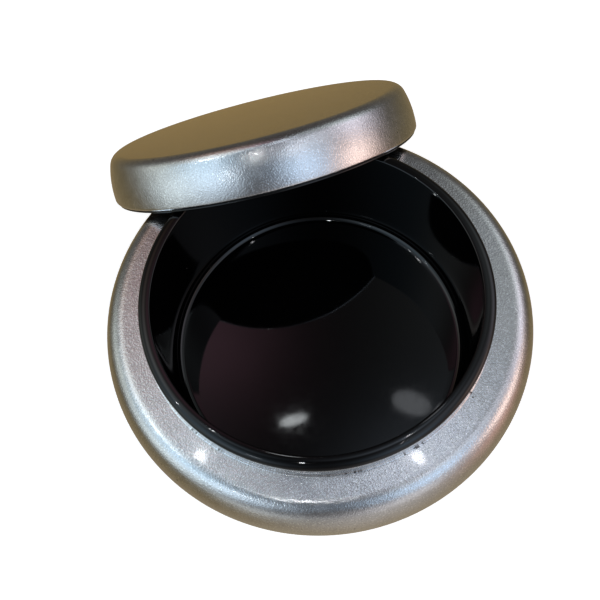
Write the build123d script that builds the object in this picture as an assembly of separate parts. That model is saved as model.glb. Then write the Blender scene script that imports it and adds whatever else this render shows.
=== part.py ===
from build123d import *
from math import cos, radians, sin, sqrt, tan
import os

# A squat round dappen dish with a loose lid, standing on its flat base.
# Frame: +Z up, origin at the centre of the base, millimetres.
# The lid is off the dish: it leans on the neck from behind, along +Y,
# with the lowest point of its skirt just above the table.

# ---- bowl: driving dimensions ----
bowl_height = 60.0          # table to the top of the black rim
belly_radius = 60.0         # widest point of the silver body
belly_height = 41.5         # height of the widest point
belly_arc_radius = 16.3     # roundness of the belly at its widest point
belly_lower_turn = 26.0     # degrees the belly arc runs below the widest point
crest_height = 52.8         # top of the shoulder's rounding
crest_arc_radius = 6.0      # tighter roundness where the belly turns into the ledge
ledge_fall = 2.5            # degrees the ledge falls outwards from the neck
base_radius = 30.0          # flat that the dish stands on
base_edge_height = 1.2      # roundness of the base edge

opening_radius = 44.0       # inside of the black cup
neck_radius = 47.4          # outside of the neck
rim_band = 1.6              # height of the black rim on top of the silver neck
rim_round_width = 2.4       # the rim's outer rounding is wider than it is high
rim_round_height = 1.5
rim_inner_round = 0.35
seam_gap = 0.2              # shadow line between the black rim and the silver neck

cup_wall = 1.6
cup_floor_height = 23.0     # inside floor above the table
cup_floor_thickness = 2.0
cup_floor_round = 2.5       # fillet between the cup's wall and its floor
bond_gap = 0.1              # glue line between the cup and the body

# ---- lid: driving dimensions ----
lid_radius = 49.75          # outside of the skirt
lid_skirt_height = 2.1      # lower edge to where the side starts to lean in
lid_side_radius = 29.6      # roundness of the side
lid_side_turn = 20.0        # degrees the side leans in before the edge round
lid_edge_round = 4.0        # between the side and the top
lid_crown_slope = 2.0       # degrees the domed top falls at its edge
lid_lower_round = 1.0
lid_inside_height = 12.9    # lower edge to the underside of the silver
lid_inside_draw = 4.3       # how far the inside draws in towards the top
lid_shell_wall = 1.1
liner_wall = 0.7
liner_top = 1.0
liner_lip = 0.5             # black lip under the silver skirt
liner_lip_radius = 49.0

# ---- lid: where it leans ----
lid_tilt = 44.4             # degrees from level
lid_lean_y = 61.2           # centre of the skirt's lower edge
lid_lean_z = 34.5


def turned(*edges):
    """A solid of revolution about Z from a closed outline in radius and height."""
    outline = Curve() + list(edges)
    return revolve(make_face(Plane.XZ * outline), axis=Axis.Z)


def belly_edges():
    """The silver outside, from the ledge round the belly to the base edge."""
    centre_x = belly_radius - belly_arc_radius
    spare = belly_arc_radius - crest_arc_radius
    rise = crest_height - crest_arc_radius - belly_height
    crest_centre = Vector(centre_x + sqrt(spare ** 2 - rise ** 2), crest_height - crest_arc_radius)
    fall = radians(ledge_fall)
    ledge_end = crest_centre + Vector(sin(fall), cos(fall)) * crest_arc_radius
    outward = (crest_centre - Vector(centre_x, belly_height)).normalized()
    upper_end = Vector(centre_x, belly_height) + outward * belly_arc_radius
    turn = radians(belly_lower_turn)
    downward = Vector(cos(turn), -sin(turn))
    lower_end = Vector(centre_x, belly_height) + downward * belly_arc_radius
    shoulder = TangentArc(ledge_end, upper_end, tangent=(cos(fall), -sin(fall)))
    belly = ThreePointArc(upper_end, (belly_radius, belly_height), lower_end)
    base_edge = (base_radius + base_edge_height, base_edge_height)
    flank = TangentArc(lower_end, base_edge, tangent=(-sin(turn), -cos(turn)))
    return [shoulder, belly, flank]


def make_bowl_body():
    """The silver body: solid, with a flat-bottomed pocket for the cup."""
    outside = belly_edges()
    ledge_end = outside[0] @ 0
    neck_foot_height = ledge_end.Y + (ledge_end.X - neck_radius) * tan(radians(ledge_fall))
    foot = outside[-1] @ 1
    base_corner = TangentArc(foot, (base_radius, 0), tangent=outside[-1] % 1)
    pocket_radius = opening_radius + cup_wall + bond_gap
    pocket_floor = cup_floor_height - cup_floor_thickness
    neck_top = bowl_height - rim_band - seam_gap
    inside = Polyline(
        base_corner @ 1,
        (0, 0),
        (0, pocket_floor),
        (pocket_radius, pocket_floor),
        (pocket_radius, neck_top),
        (neck_radius, neck_top),
        (neck_radius, neck_foot_height),
        ledge_end,
    )
    return turned(*outside, base_corner, inside)


def make_inner_cup():
    """The black cup, with a rounded rim that caps the silver neck."""
    outer = opening_radius + cup_wall
    underside = cup_floor_height - cup_floor_thickness
    outside = Polyline(
        (0, cup_floor_height),
        (0, underside),
        (outer, underside),
        (outer, bowl_height - rim_band),
        (neck_radius, bowl_height - rim_band),
        (neck_radius, bowl_height - rim_round_height),
    )
    outer_centre = (neck_radius - rim_round_width, bowl_height - rim_round_height)
    rim_outer = EllipticalCenterArc(outer_centre, rim_round_width, rim_round_height, start_angle=0, arc_size=90)
    inner_centre = (opening_radius + rim_inner_round, bowl_height - rim_inner_round)
    rim_inner = CenterArc(inner_centre, rim_inner_round, 90, 90)
    rim_top = Line(rim_outer @ 1, rim_inner @ 0)
    round_centre = (opening_radius - cup_floor_round, cup_floor_height + cup_floor_round)
    floor_round = CenterArc(round_centre, cup_floor_round, 0, -90)
    wall = Line(rim_inner @ 1, floor_round @ 0)
    floor = Line(floor_round @ 1, (0, cup_floor_height))
    return turned(outside, rim_outer, rim_top, rim_inner, wall, floor_round, floor)


def inside_edge(inset, top):
    """The drawn-in side of the cap's hollow, inset from the skirt's outside by a wall."""
    centre = (lid_radius - lid_inside_draw - inset, lid_skirt_height)
    return EllipticalCenterArc(centre, lid_inside_draw, top - lid_skirt_height, start_angle=0, arc_size=90)


def lid_outside_edges():
    """The silver outside of the cap: its side, its edge round and its domed top."""
    side = CenterArc((lid_radius - lid_side_radius, lid_skirt_height), lid_side_radius, 0, lid_side_turn)
    turn = radians(lid_side_turn)
    round_centre = (side @ 1) - Vector(cos(turn), sin(turn)) * lid_edge_round
    edge_round = CenterArc(round_centre, lid_edge_round, lid_side_turn, 90 - lid_crown_slope - lid_side_turn)
    edge = edge_round @ 1
    crown_height = edge.X * tan(radians(lid_crown_slope / 2))
    crown = TangentArc((0, edge.Y + crown_height), edge, tangent=(1, 0))
    return [side, edge_round, crown]


def make_lid_shell():
    """The silver cap, upright, with its liner's lower edge at height 0."""
    side, edge_round, crown = lid_outside_edges()
    inner_side = inside_edge(lid_shell_wall, lid_inside_height)
    middle = Line(crown @ 0, (0, lid_inside_height))
    ceiling = Line(middle @ 1, inner_side @ 1)
    lower = CenterArc((lid_radius - lid_lower_round, liner_lip + lid_lower_round), lid_lower_round, -90, 90)
    skirt_outside = Line(lower @ 1, side @ 0)
    skirt_inside = Polyline(lower @ 0, (lid_radius - lid_shell_wall, liner_lip), inner_side @ 0)
    return turned(side, edge_round, crown, middle, ceiling, inner_side, skirt_inside, lower, skirt_outside)


def make_lid_liner():
    """The black lining of the cap, with a thin lip under the silver skirt."""
    outer_side = inside_edge(lid_shell_wall, lid_inside_height)
    inner_side = inside_edge(lid_shell_wall + liner_wall, lid_inside_height - liner_top)
    middle = Polyline(
        outer_side @ 1,
        (0, lid_inside_height),
        (0, lid_inside_height - liner_top),
        inner_side @ 1,
    )
    liner_outer = lid_radius - lid_shell_wall
    lip = Polyline(
        inner_side @ 0,
        (liner_outer - liner_wall, 0),
        (liner_lip_radius, 0),
        (liner_lip_radius, liner_lip),
        (liner_outer, liner_lip),
        outer_side @ 0,
    )
    return turned(outer_side, middle, inner_side, lip)


lean = Location((0, lid_lean_y, lid_lean_z), (-lid_tilt, 0, 0))

nodes = {
    "bowl_body": make_bowl_body(),
    "inner_cup": make_inner_cup(),
    "lid_shell": lean * make_lid_shell(),
    "lid_liner": lean * make_lid_liner(),
}

os.makedirs("parts", exist_ok=True)
for name, shape in nodes.items():
    export_step(shape, f"parts/{name}.step")
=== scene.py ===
from math import atan2, cos, degrees, hypot, pi, radians, sin, sqrt, tan

import bmesh
import bpy
from mathutils import Matrix, Vector


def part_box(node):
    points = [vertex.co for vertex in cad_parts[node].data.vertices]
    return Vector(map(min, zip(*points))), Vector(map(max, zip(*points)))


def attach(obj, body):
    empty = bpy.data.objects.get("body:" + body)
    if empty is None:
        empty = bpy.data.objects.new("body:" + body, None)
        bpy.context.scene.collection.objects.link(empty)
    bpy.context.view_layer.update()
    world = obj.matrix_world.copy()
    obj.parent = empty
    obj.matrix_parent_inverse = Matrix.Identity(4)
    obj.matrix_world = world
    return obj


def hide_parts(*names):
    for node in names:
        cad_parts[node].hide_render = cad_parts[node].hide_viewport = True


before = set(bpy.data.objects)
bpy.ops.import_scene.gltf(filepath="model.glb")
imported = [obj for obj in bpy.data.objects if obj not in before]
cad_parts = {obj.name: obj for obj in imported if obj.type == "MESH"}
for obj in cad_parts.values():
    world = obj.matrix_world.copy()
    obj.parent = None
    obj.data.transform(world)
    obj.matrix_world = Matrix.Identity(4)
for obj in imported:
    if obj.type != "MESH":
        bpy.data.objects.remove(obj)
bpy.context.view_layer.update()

# Metres throughout. The dish is turned, so each piece is an outline in radius
# and height, swept round its own axis. The outlines follow the CAD pieces.
MM = 0.001

# ---- sizes read from the frame ----
body_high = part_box("bowl_body")[1]
cup_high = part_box("inner_cup")[1]
BELLY_RADIUS = body_high[0]
BOWL_HEIGHT = cup_high[2]
NECK_RADIUS = cup_high[0]

# ---- sizes of the outlines ----
BELLY_HEIGHT = 41.5 * MM
BELLY_ARC = 16.3 * MM
BELLY_LOWER_TURN = 26.0
CREST_HEIGHT = 52.8 * MM
CREST_ARC = 6.0 * MM
LEDGE_FALL = 2.5
BASE_RADIUS = 30.0 * MM
BASE_EDGE = 1.2 * MM
OPENING_RADIUS = 44.0 * MM
RIM_BAND = 1.6 * MM
RIM_ROUND_WIDTH = 2.4 * MM
RIM_ROUND_HEIGHT = 1.5 * MM
RIM_INNER_ROUND = 0.35 * MM
SEAM_GAP = 0.2 * MM
CUP_WALL = 1.6 * MM
CUP_FLOOR_HEIGHT = 23.0 * MM
CUP_FLOOR_THICKNESS = 2.0 * MM
CUP_FLOOR_ROUND = 2.5 * MM
BOND_GAP = 0.1 * MM

LID_RADIUS = 49.75 * MM
LID_SKIRT_HEIGHT = 2.1 * MM
LID_SIDE_ARC = 29.6 * MM
LID_SIDE_TURN = 20.0
LID_EDGE_ROUND = 4.0 * MM
LID_CROWN_SLOPE = 2.0
LID_LOWER_ROUND = 1.0 * MM
LID_INSIDE_HEIGHT = 12.9 * MM
LID_INSIDE_DRAW = 4.3 * MM
LID_SHELL_WALL = 1.1 * MM
LINER_WALL = 0.7 * MM
LINER_TOP = 1.0 * MM
LINER_LIP = 0.5 * MM
LINER_LIP_RADIUS = 49.0 * MM

LID_TILT = 44.4
LID_LEAN = Vector((0, 61.2 * MM, 34.5 * MM))

# ---- worked out: where the ledge starts to turn down into the belly, and the neck's foot ----
BELLY_CENTRE = Vector((BELLY_RADIUS - BELLY_ARC, BELLY_HEIGHT))
CREST_RISE = CREST_HEIGHT - CREST_ARC - BELLY_HEIGHT
CREST_CENTRE = BELLY_CENTRE + Vector((sqrt((BELLY_ARC - CREST_ARC) ** 2 - CREST_RISE ** 2), CREST_RISE))
LEDGE_SLOPE = tan(radians(LEDGE_FALL))
LEDGE_END = CREST_CENTRE + Vector((LEDGE_SLOPE, 1)).normalized() * CREST_ARC
NECK_FOOT_HEIGHT = LEDGE_END.y + (LEDGE_END.x - NECK_RADIUS) * LEDGE_SLOPE

SEGMENTS = 384              # facets round each turned piece


# ---------------------------------------------------------------- outlines

def arc(centre, radius, start, sweep, count=12, stretch=1.0):
    """Points on an arc; angles in degrees, stretch scales its height."""
    angles = [radians(start + sweep * i / count) for i in range(count + 1)]
    return [(centre[0] + radius * cos(a), centre[1] + stretch * radius * sin(a)) for a in angles]


def line(start, end, step=1.5 * MM):
    """Points on a straight run, spaced evenly at about one step."""
    count = max(1, round(hypot(end[0] - start[0], end[1] - start[1]) / step))
    return [(start[0] + (end[0] - start[0]) * i / count,
             start[1] + (end[1] - start[1]) * i / count) for i in range(count + 1)]


def tangent_arc(start, heading, end, count=24):
    """Points on the arc that leaves start along heading and meets end."""
    chord = Vector(end) - Vector(start)
    along = Vector(heading).normalized()
    side = Vector((-along.y, along.x))
    radius = chord.length_squared / (2 * chord.dot(side))
    centre = Vector(start) + side * radius
    first = Vector(start) - centre
    turn = first.angle_signed(Vector(end) - centre)
    points = []
    for i in range(count + 1):
        angle = -turn * i / count
        points.append((centre.x + first.x * cos(angle) - first.y * sin(angle),
                       centre.y + first.x * sin(angle) + first.y * cos(angle)))
    return points


def joined(*runs):
    """One outline from several runs, without the doubled points."""
    points = []
    for run in runs:
        for point in run:
            if not points or hypot(point[0] - points[-1][0], point[1] - points[-1][1]) > 1e-7:
                points.append(point)
    return points


def body_outline():
    """The silver body, from the middle of its base round the outside to the cup's pocket."""
    upper = degrees(atan2(CREST_RISE, CREST_CENTRE.x - BELLY_CENTRE.x))
    belly = arc(BELLY_CENTRE, BELLY_ARC, -BELLY_LOWER_TURN, BELLY_LOWER_TURN + upper, 40)
    turn = radians(BELLY_LOWER_TURN)
    flank = tangent_arc(belly[0], (-sin(turn), -cos(turn)), (BASE_RADIUS + BASE_EDGE, BASE_EDGE), 40)
    base_edge = arc((BASE_RADIUS, BASE_EDGE), BASE_EDGE, -90, 90, 6)
    crest = arc(CREST_CENTRE, CREST_ARC, upper, 90 - LEDGE_FALL - upper, 16)
    neck_top = BOWL_HEIGHT - RIM_BAND - SEAM_GAP
    pocket = OPENING_RADIUS + CUP_WALL + BOND_GAP
    pocket_floor = CUP_FLOOR_HEIGHT - CUP_FLOOR_THICKNESS
    return joined(
        line((0, 0), (BASE_RADIUS, 0)),
        base_edge,
        flank[::-1],
        belly,
        crest,
        line(LEDGE_END, (NECK_RADIUS, NECK_FOOT_HEIGHT), 0.5 * MM),
        line((NECK_RADIUS, NECK_FOOT_HEIGHT), (NECK_RADIUS, neck_top), 0.6 * MM),
        line((NECK_RADIUS, neck_top), (pocket, neck_top)),
        line((pocket, neck_top), (pocket, pocket_floor)),
        line((pocket, pocket_floor), (0, pocket_floor)),
    )


def cup_outline():
    """The black cup, from the middle of its underside over the rim to the middle of its floor."""
    outer = OPENING_RADIUS + CUP_WALL
    underside = CUP_FLOOR_HEIGHT - CUP_FLOOR_THICKNESS
    band = BOWL_HEIGHT - RIM_BAND
    outer_centre = (NECK_RADIUS - RIM_ROUND_WIDTH, BOWL_HEIGHT - RIM_ROUND_HEIGHT)
    flattening = RIM_ROUND_HEIGHT / RIM_ROUND_WIDTH
    outer_round = arc(outer_centre, RIM_ROUND_WIDTH, 0, 90, 18, stretch=flattening)
    inner_centre = (OPENING_RADIUS + RIM_INNER_ROUND, BOWL_HEIGHT - RIM_INNER_ROUND)
    inner_round = arc(inner_centre, RIM_INNER_ROUND, 90, 90, 8)
    round_centre = (OPENING_RADIUS - CUP_FLOOR_ROUND, CUP_FLOOR_HEIGHT + CUP_FLOOR_ROUND)
    floor_round = arc(round_centre, CUP_FLOOR_ROUND, 0, -90, 14)
    return joined(
        line((0, underside), (outer, underside)),
        line((outer, underside), (outer, band)),
        line((outer, band), (NECK_RADIUS, band), 0.5 * MM),
        outer_round,
        inner_round,
        line(inner_round[-1], floor_round[0]),
        floor_round,
        line(floor_round[-1], (0, CUP_FLOOR_HEIGHT)),
    )


def lid_inside_edge(inset, top, count=24):
    """The drawn-in side of the lid's hollow, from the skirt up."""
    centre = (LID_RADIUS - LID_INSIDE_DRAW - inset, LID_SKIRT_HEIGHT)
    return arc(centre, LID_INSIDE_DRAW, 0, 90, count, stretch=(top - LID_SKIRT_HEIGHT) / LID_INSIDE_DRAW)


def lid_outside():
    """The silver outside of the lid: its side, its edge round and its domed top."""
    side = arc((LID_RADIUS - LID_SIDE_ARC, LID_SKIRT_HEIGHT), LID_SIDE_ARC, 0, LID_SIDE_TURN, 20)
    turn = radians(LID_SIDE_TURN)
    round_centre = Vector(side[-1]) - Vector((cos(turn), sin(turn))) * LID_EDGE_ROUND
    edge_turn = 90 - LID_CROWN_SLOPE - LID_SIDE_TURN
    edge_round = arc(round_centre, LID_EDGE_ROUND, LID_SIDE_TURN, edge_turn, 18)
    edge = edge_round[-1]
    middle = (0, edge[1] + edge[0] * tan(radians(LID_CROWN_SLOPE / 2)))
    return joined(side, edge_round, tangent_arc(middle, (1, 0), edge)[::-1])


def lid_shell_outline():
    """The silver cap, from its lower edge over the top and back down its hollow."""
    inside = lid_inside_edge(LID_SHELL_WALL, LID_INSIDE_HEIGHT)
    lower_centre = (LID_RADIUS - LID_LOWER_ROUND, LINER_LIP + LID_LOWER_ROUND)
    lower = arc(lower_centre, LID_LOWER_ROUND, -90, 90, 10)
    skirt_inside = (LID_RADIUS - LID_SHELL_WALL, LINER_LIP)
    return joined(
        line(skirt_inside, lower[0]),
        lower,
        lid_outside(),
        line((0, LID_INSIDE_HEIGHT), inside[-1]),
        inside[::-1],
        line(inside[0], skirt_inside),
    )


def lid_liner_outline():
    """The black lining, from the middle of the hollow's ceiling down to the lip and back."""
    outside = lid_inside_edge(LID_SHELL_WALL, LID_INSIDE_HEIGHT)
    inside = lid_inside_edge(LID_SHELL_WALL + LINER_WALL, LID_INSIDE_HEIGHT - LINER_TOP)
    outer = LID_RADIUS - LID_SHELL_WALL
    return joined(
        line((0, LID_INSIDE_HEIGHT - LINER_TOP), inside[-1]),
        inside[::-1],
        line(inside[0], (outer - LINER_WALL, 0)),
        line((outer - LINER_WALL, 0), (LINER_LIP_RADIUS, 0), 0.4 * MM),
        line((LINER_LIP_RADIUS, 0), (LINER_LIP_RADIUS, LINER_LIP), 0.3 * MM),
        line((LINER_LIP_RADIUS, LINER_LIP), (outer, LINER_LIP)),
        line((outer, LINER_LIP), outside[0]),
        outside,
        line(outside[-1], (0, LID_INSIDE_HEIGHT)),
    )


def turned(name, outline, place=Matrix.Identity(4), closed=False):
    """A mesh swept round Z from an outline; a point on the axis becomes one vertex."""
    mesh = bmesh.new()
    rings = []
    for radius, height in outline:
        if radius < 1e-6:
            rings.append([mesh.verts.new((0, 0, height))])
            continue
        angles = [2 * pi * i / SEGMENTS for i in range(SEGMENTS)]
        rings.append([mesh.verts.new((radius * cos(a), radius * sin(a), height)) for a in angles])
    pairs = list(zip(rings, rings[1:]))
    if closed:
        pairs.append((rings[-1], rings[0]))
    for low, high in pairs:
        for i in range(SEGMENTS):
            j = (i + 1) % SEGMENTS
            corners = [low[i % len(low)], low[j % len(low)], high[j % len(high)], high[i % len(high)]]
            face = [v for k, v in enumerate(corners) if v not in corners[:k]]
            if len(face) > 2:
                mesh.faces.new(face)
    bmesh.ops.recalc_face_normals(mesh, faces=mesh.faces)
    data = bpy.data.meshes.new(name)
    mesh.to_mesh(data)
    mesh.free()
    data.transform(place)
    data.shade_smooth()
    piece = bpy.data.objects.new(name, data)
    bpy.context.collection.objects.link(piece)
    return piece


# ---------------------------------------------------------------- materials

# How fine each pattern is, in repeats per metre.
GRAIN_SCALE = 2300.0        # sparkle of the silver leaf
MOTTLE_SCALE = 260.0
CLOUD_SCALE = 38.0
RING_SCALE = 1500.0         # lathe rings
PIT_SCALE = 120.0
CHIP_SCALE = 900.0          # ragged edges of the chips at the neck's foot
CHIP_PATCH_SCALE = 70.0     # where along the neck they are
SCRATCH_GAP_SCALE = 60.0    # breaks between the hair lines
SCRATCH_WIDTH = 0.0035      # share of the noise's range that is a line
WAVE_SCALE = 45.0           # slow waves of the black lacquer
HAZE_SCALE = 420.0
DUST_SCALE = 75.0


class Nodes:
    """A short way to build a node tree."""

    def __init__(self, tree):
        self.tree = tree
        tree.nodes.clear()

    def add(self, kind, inputs=None, **settings):
        node = self.tree.nodes.new(kind)
        for key, value in settings.items():
            setattr(node, key, value)
        for key, value in (inputs or {}).items():
            if isinstance(value, bpy.types.NodeSocket):
                self.tree.links.new(value, node.inputs[key])
            else:
                node.inputs[key].default_value = value
        return node

    def math(self, operation, first, second=0.0, clamp=False):
        node = self.add("ShaderNodeMath", {0: first, 1: second}, operation=operation, use_clamp=clamp)
        return node.outputs[0]

    def noise(self, vector, scale, detail=2.0, roughness=0.5, distortion=0.0):
        inputs = {"Vector": vector, "Scale": scale, "Detail": detail, "Roughness": roughness,
                  "Distortion": distortion}
        return self.add("ShaderNodeTexNoise", inputs).outputs["Fac"]

    def remap(self, value, low, high, to_low=0.0, to_high=1.0):
        inputs = {"Value": value, "From Min": low, "From Max": high, "To Min": to_low, "To Max": to_high}
        return self.add("ShaderNodeMapRange", inputs, clamp=True).outputs["Result"]

    def mix(self, factor, first, second):
        node = self.add("ShaderNodeMix", {"Factor": factor}, data_type="RGBA")
        for socket, value in ((node.inputs[6], first), (node.inputs[7], second)):
            if isinstance(value, bpy.types.NodeSocket):
                self.tree.links.new(value, socket)
            else:
                socket.default_value = (*value, 1.0)
        return node.outputs[2]

    def bump(self, height, strength, distance, normal=None):
        inputs = {"Height": height, "Strength": strength, "Distance": distance}
        if normal is not None:
            inputs["Normal"] = normal
        return self.add("ShaderNodeBump", inputs).outputs["Normal"]


def new_material(name):
    material = bpy.data.materials.new(name)
    material.use_nodes = True
    return material, Nodes(material.node_tree)


def scratches(n, place, along, across, turn):
    """A few hair lines, long one way and thin the other; the mask is 1 on a line."""
    stretch = (across, along, along)
    turned_place = n.add("ShaderNodeMapping", {"Vector": place, "Rotation": turn, "Scale": stretch})
    field = n.noise(turned_place.outputs["Vector"], 1.0, 0.0)
    line_mask = n.remap(n.math("ABSOLUTE", n.math("SUBTRACT", field, 0.5)), SCRATCH_WIDTH, 0.0)
    gaps = n.remap(n.noise(place, SCRATCH_GAP_SCALE, 1.0), 0.60, 0.66)
    return n.math("MULTIPLY", line_mask, gaps)


def turning_marks(n, place):
    """Faint rings left by the lathe and the polishing cloth."""
    parts = n.add("ShaderNodeSeparateXYZ", {0: place})
    flat = n.add("ShaderNodeCombineXYZ", {0: parts.outputs["X"], 1: parts.outputs["Y"]})
    radius = n.add("ShaderNodeVectorMath", {0: flat.outputs[0]}, operation="LENGTH").outputs["Value"]
    rings = n.add("ShaderNodeCombineXYZ", {0: radius, 2: parts.outputs["Z"]})
    return radius, parts.outputs["Z"], n.noise(rings.outputs[0], RING_SCALE, 2.0)


def neck_chips(n, place, radius, height):
    """Specks in the corner at the foot of the neck, on the front, where the silver has come away."""
    near_neck = n.remap(n.math("ABSOLUTE", n.math("SUBTRACT", radius, NECK_RADIUS)), 0.5 * MM, 0.25 * MM)
    low = n.remap(height, NECK_FOOT_HEIGHT + 0.7 * MM, NECK_FOOT_HEIGHT + 0.4 * MM)
    broken = n.remap(n.noise(place, CHIP_SCALE, 2.0, 0.6), 0.56, 0.62)
    patches = n.remap(n.noise(place, CHIP_PATCH_SCALE, 1.0), 0.46, 0.56)
    front = n.remap(n.add("ShaderNodeSeparateXYZ", {0: place}).outputs["Y"], -20 * MM, -30 * MM)
    mask = n.math("MULTIPLY", n.math("MULTIPLY", near_neck, low), n.math("MULTIPLY", broken, patches))
    return n.math("MULTIPLY", mask, front)


def silver_leaf(name, chipped):
    """Silver leaf under varnish: a sparkling grain, slow waves, faint rings and hair lines."""
    material, n = new_material(name)
    place = n.add("ShaderNodeTexCoord").outputs["Object"]
    grain = n.noise(place, GRAIN_SCALE, 1.5, 0.5)
    mottle = n.noise(place, MOTTLE_SCALE, 4.0, 0.6)
    cloud = n.noise(place, CLOUD_SCALE, 3.0, 0.5)
    radius, height, rings = turning_marks(n, place)
    lines = n.math("MAXIMUM", scratches(n, place, 35.0, 420.0, (0.3, 0.5, 0.9)),
                   scratches(n, place, 30.0, 380.0, (1.1, 0.2, 2.3)))
    pits = n.add("ShaderNodeTexVoronoi", {"Vector": place, "Scale": PIT_SCALE}).outputs["Distance"]
    pit = n.remap(pits, 0.035, 0.022)

    tone = n.mix(n.remap(mottle, 0.3, 0.7), (0.68, 0.68, 0.69), (0.80, 0.80, 0.81))
    tone = n.mix(n.remap(grain, 0.55, 0.70), tone, (0.97, 0.97, 0.97))
    tone = n.mix(n.remap(grain, 0.40, 0.25), tone, (0.58, 0.57, 0.58))
    tone = n.mix(n.remap(cloud, 0.4, 0.7, 0.0, 0.3), tone, (0.70, 0.67, 0.63))
    dark = n.math("MAXIMUM", pit, neck_chips(n, place, radius, height)) if chipped else pit
    tone = n.mix(dark, tone, (0.05, 0.04, 0.035))
    rough = n.remap(mottle, 0.25, 0.75, 0.17, 0.26)
    rough = n.math("SUBTRACT", rough, n.math("MULTIPLY", lines, 0.10))

    wavy = n.bump(cloud, 0.30, 0.35 * MM)
    ringed = n.bump(rings, 0.12, 0.02 * MM, wavy)
    scored = n.bump(lines, 0.5, -0.02 * MM, ringed)
    rippled = n.bump(mottle, 0.35, 0.10 * MM, scored)
    sparkling = n.bump(grain, 1.0, 0.06 * MM, rippled)
    shader = n.add("ShaderNodeBsdfPrincipled", {
        "Base Color": tone, "Metallic": 1.0, "Roughness": rough, "Normal": sparkling,
        "Coat Weight": 0.6, "Coat Roughness": 0.06, "Coat Normal": wavy,
    })
    n.add("ShaderNodeOutputMaterial", {"Surface": shader.outputs[0]})
    return material


def black_lacquer():
    """Polished black lacquer: nearly a mirror, with a faint wave and a little dust."""
    material, n = new_material("black_lacquer_look")
    place = n.add("ShaderNodeTexCoord").outputs["Object"]
    wave = n.noise(place, WAVE_SCALE, 1.0, 0.4)
    haze = n.noise(place, HAZE_SCALE, 3.0, 0.6)
    dust = n.add("ShaderNodeTexVoronoi", {"Vector": place, "Scale": DUST_SCALE}).outputs["Distance"]
    speck = n.remap(dust, 0.014, 0.008)
    tone = n.mix(haze, (0.0008, 0.0008, 0.0010), (0.0018, 0.0016, 0.0016))
    tone = n.mix(speck, tone, (0.30, 0.30, 0.30))
    rough = n.remap(haze, 0.3, 0.8, 0.03, 0.07)
    surface = n.bump(wave, 0.15, 0.25 * MM)
    shader = n.add("ShaderNodeBsdfPrincipled", {
        "Base Color": tone, "Roughness": rough, "Normal": surface, "IOR": 1.5,
    })
    n.add("ShaderNodeOutputMaterial", {"Surface": shader.outputs[0]})
    return material


# ---------------------------------------------------------------- the pieces

def finish_piece(piece, node, body, material):
    """Put a material on a piece, hide the frame's piece that it stands for, and hang it on its body."""
    piece.data.materials.append(material)
    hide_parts(node)
    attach(piece, body)


bowl_silver = silver_leaf("bowl_silver_look", chipped=True)
lid_silver = silver_leaf("lid_silver_look", chipped=False)
lacquer = black_lacquer()
lean = Matrix.Translation(LID_LEAN) @ Matrix.Rotation(radians(-LID_TILT), 4, "X")

body = turned("silver_body", body_outline())
finish_piece(body, "bowl_body", "dish", bowl_silver)

cup = turned("black_cup", cup_outline())
finish_piece(cup, "inner_cup", "dish", lacquer)

lid = turned("silver_lid", lid_shell_outline(), lean)
finish_piece(lid, "lid_shell", "lid", lid_silver)

lining = turned("black_lid_lining", lid_liner_outline(), lean)
finish_piece(lining, "lid_liner", "lid", lacquer)


# ---------------------------------------------------------------- camera

AIM = Vector((-0.00455, -0.00171, BOWL_HEIGHT))
CAMERA_DISTANCE = 0.1989
CAMERA_AZIMUTH = 8.55
CAMERA_ELEVATION = 65.41
CAMERA_ROLL = -7.93
CAMERA_LENS = 45.5


def add_camera():
    """The camera, aimed at the dish from a distance and turned about its own view."""
    azimuth, elevation = radians(CAMERA_AZIMUTH), radians(CAMERA_ELEVATION)
    away = Vector((-sin(azimuth) * cos(elevation), -cos(azimuth) * cos(elevation), sin(elevation)))
    data = bpy.data.cameras.new("camera")
    data.lens = CAMERA_LENS
    data.sensor_width = 36
    data.clip_start = 0.01
    camera = bpy.data.objects.new("camera", data)
    turn = away.to_track_quat("Z", "Y").to_matrix().to_4x4()
    camera.matrix_world = (Matrix.Translation(AIM + away * CAMERA_DISTANCE) @ turn
                           @ Matrix.Rotation(radians(CAMERA_ROLL), 4, "Z"))
    bpy.context.collection.objects.link(camera)
    bpy.context.scene.camera = camera


add_camera()


# ---------------------------------------------------------------- floor and light

# Soft glows of the studio: azimuth and elevation in degrees (azimuth 0 is the front,
# positive to the right), spread in degrees, and colour as radiance.
GLOWS = (
    (-122, 54, 10, (1.00, 1.05, 1.05)),      # high on the left, towards the back
    (-85, 47, 13, (0.50, 0.73, 0.92)),       # high on the left
    (-55, 36, 12, (0.72, 0.90, 1.08)),       # front left
    (-115, 16, 12, (0.50, 0.55, 0.52)),      # low on the left
    (-80, 13, 14, (0.75, 0.88, 0.92)),       # low on the left, towards the front
    (-42, -8, 12, (0.38, 0.42, 0.44)),       # table, front left
    (27, 47, 12, (0.46, 0.60, 0.76)),        # high on the front right
    (30, 34, 11, (0.45, 0.60, 0.80)),        # front right
    (18, 5, 14, (0.55, 0.54, 0.56)),         # low in front
    (64, 14, 11, (1.65, 1.25, 1.12)),        # warm, right
    (64, 58, 11, (0.62, 0.66, 0.74)),        # high on the right
    (93, 30, 11, (0.90, 0.86, 1.00)),        # right
    (117, 36, 11, (0.48, 0.55, 0.56)),       # right, towards the back
    (130, 61, 7, (0.30, 0.34, 0.36)),        # high on the right, towards the back
    (116, 79, 5, (0.85, 1.00, 1.20)),        # nearly overhead, right
    (-116, 74, 5, (0.40, 0.52, 0.64)),     # nearly overhead, left
    (-169, 66, 4, (0.50, 0.25, 0.34)),       # rosy, behind
    (-150, 46, 9, (0.28, 0.16, 0.12)),       # rosy, behind on the left
    (58, -18, 12, (0.45, 0.25, 0.22)),       # rosy, low on the right
    (5, -25, 22, (0.26, 0.26, 0.28)),        # the table in front
    (178, -44, 16, (0.10, 0.05, 0.00)),      # warm wood behind
)

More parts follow.
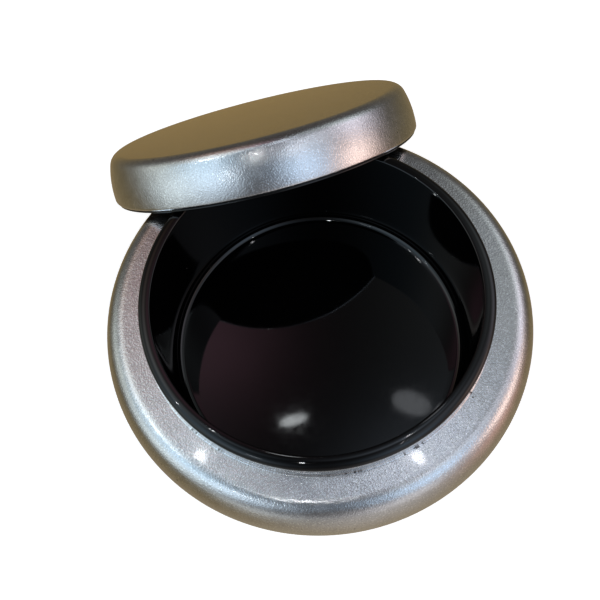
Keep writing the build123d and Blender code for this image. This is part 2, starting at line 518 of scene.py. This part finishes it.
# The room behind the glows, by height: straight down, low, the horizon, high and overhead.
ROOM = (
    (-1.0, (0.30, 0.25, 0.17)),
    (-0.7, (0.20, 0.155, 0.085)),
    (-0.5, (0.15, 0.12, 0.065)),
    (-0.15, (0.10, 0.09, 0.07)),
    (0.1, (0.08, 0.075, 0.07)),
    (1.0, (0.03, 0.025, 0.025)),
)

# Small lamps: azimuth, elevation, width and height in degrees, radiance, distance, colour.
LAMPS = {
    "lamp_cup_left": (180, 75, 2.6, 0.9, 9.0, 1.3, (0.92, 0.98, 1.00)),
    "lamp_cup_right": (142, 73, 3.4, 2.0, 1.7, 1.3, (0.90, 0.94, 1.00)),
    "lamp_ledge_left": (-131, 74, 0.6, 0.6, 240.0, 1.3, (0.93, 0.98, 1.00)),
    "lamp_ledge_right": (109, 79, 0.6, 0.6, 200.0, 1.3, (0.96, 0.94, 1.00)),
    "lamp_front": (-33, 74, 0.9, 0.9, 330.0, 0.54, (0.95, 0.99, 1.00)),
    "lamp_left": (-99, 53, 0.8, 0.8, 350.0, 1.3, (0.93, 0.98, 1.00)),
    "lamp_right": (35, 65, 0.6, 0.6, 300.0, 1.3, (0.95, 0.95, 1.00)),
    "lamp_strip": (-50, 48, 6.0, 1.5, 10.0, 1.3, (0.90, 0.96, 1.00)),
}


def toward(azimuth, elevation):
    """The direction to a place in the studio."""
    a, e = radians(azimuth), radians(elevation)
    return Vector((sin(a) * cos(e), -cos(a) * cos(e), sin(e)))


def add_floor():
    """A plain pale floor. Glossy surfaces see the room's lower half in its place."""
    half = 3.0
    data = bpy.data.meshes.new("floor")
    corners = [(-half, -half, 0), (half, -half, 0), (half, half, 0), (-half, half, 0)]
    data.from_pydata(corners, [], [(0, 1, 2, 3)])
    floor = bpy.data.objects.new("floor", data)
    bpy.context.collection.objects.link(floor)
    material, n = new_material("floor_look")
    pale = (0.9, 0.9, 0.9, 1)
    shader = n.add("ShaderNodeBsdfPrincipled", {
        "Base Color": pale, "Roughness": 0.9,
        "Emission Color": (1, 0.98, 0.96, 1), "Emission Strength": 0.75,
    })
    n.add("ShaderNodeOutputMaterial", {"Surface": shader.outputs[0]})
    data.materials.append(material)
    floor.visible_glossy = False


def add_world():
    """The room by height, with the soft glows added to it."""
    world = bpy.data.worlds.new("studio")
    world.use_nodes = True
    bpy.context.scene.world = world
    n = Nodes(world.node_tree)
    direction = n.add("ShaderNodeTexCoord").outputs["Generated"]
    height = n.add("ShaderNodeSeparateXYZ", {0: direction}).outputs["Z"]
    ramp = n.add("ShaderNodeValToRGB", {"Fac": n.remap(height, -1.0, 1.0)})
    stops = ramp.color_ramp.elements
    while len(stops) < len(ROOM):
        stops.new(0.5)
    for stop, (level, color) in zip(stops, ROOM):
        stop.position = (level + 1) / 2
        stop.color = (*color, 1)
    light = ramp.outputs["Color"]
    for azimuth, elevation, spread, color in GLOWS:
        facing = n.add("ShaderNodeVectorMath", {0: direction, 1: toward(azimuth, elevation)},
                       operation="DOT_PRODUCT").outputs["Value"]
        depth = n.math("MULTIPLY", n.math("SUBTRACT", facing, 1.0), 1 / radians(spread) ** 2)
        level = n.math("EXPONENT", depth)
        glow = n.add("ShaderNodeVectorMath", {0: color, "Scale": level}, operation="SCALE")
        light = n.add("ShaderNodeVectorMath", {0: light, 1: glow.outputs[0]}, operation="ADD").outputs[0]
    background = n.add("ShaderNodeBackground", {"Color": light, "Strength": 1.0})
    n.add("ShaderNodeOutputWorld", {"Surface": background.outputs[0]})


def add_lamp(name, azimuth, elevation, width, height, radiance, distance, color):
    """A small oval lamp aimed at the dish, as wide and high as it looks from there."""
    away = toward(azimuth, elevation)
    data = bpy.data.lights.new(name, "AREA")
    data.shape = "ELLIPSE"
    data.size = radians(width) * distance
    data.size_y = radians(height) * distance
    data.energy = radiance * pi * (pi / 4) * data.size * data.size_y
    data.color = color
    lamp = bpy.data.objects.new(name, data)
    centre = Vector((0, 0, BOWL_HEIGHT / 2))
    lamp.matrix_world = (Matrix.Translation(centre + away * distance)
                         @ away.to_track_quat("Z", "Y").to_matrix().to_4x4())
    bpy.context.collection.objects.link(lamp)


add_floor()
add_world()
for lamp_name, settings in LAMPS.items():
    add_lamp(lamp_name, *settings)

bpy.context.scene.view_settings.view_transform = "Standard"
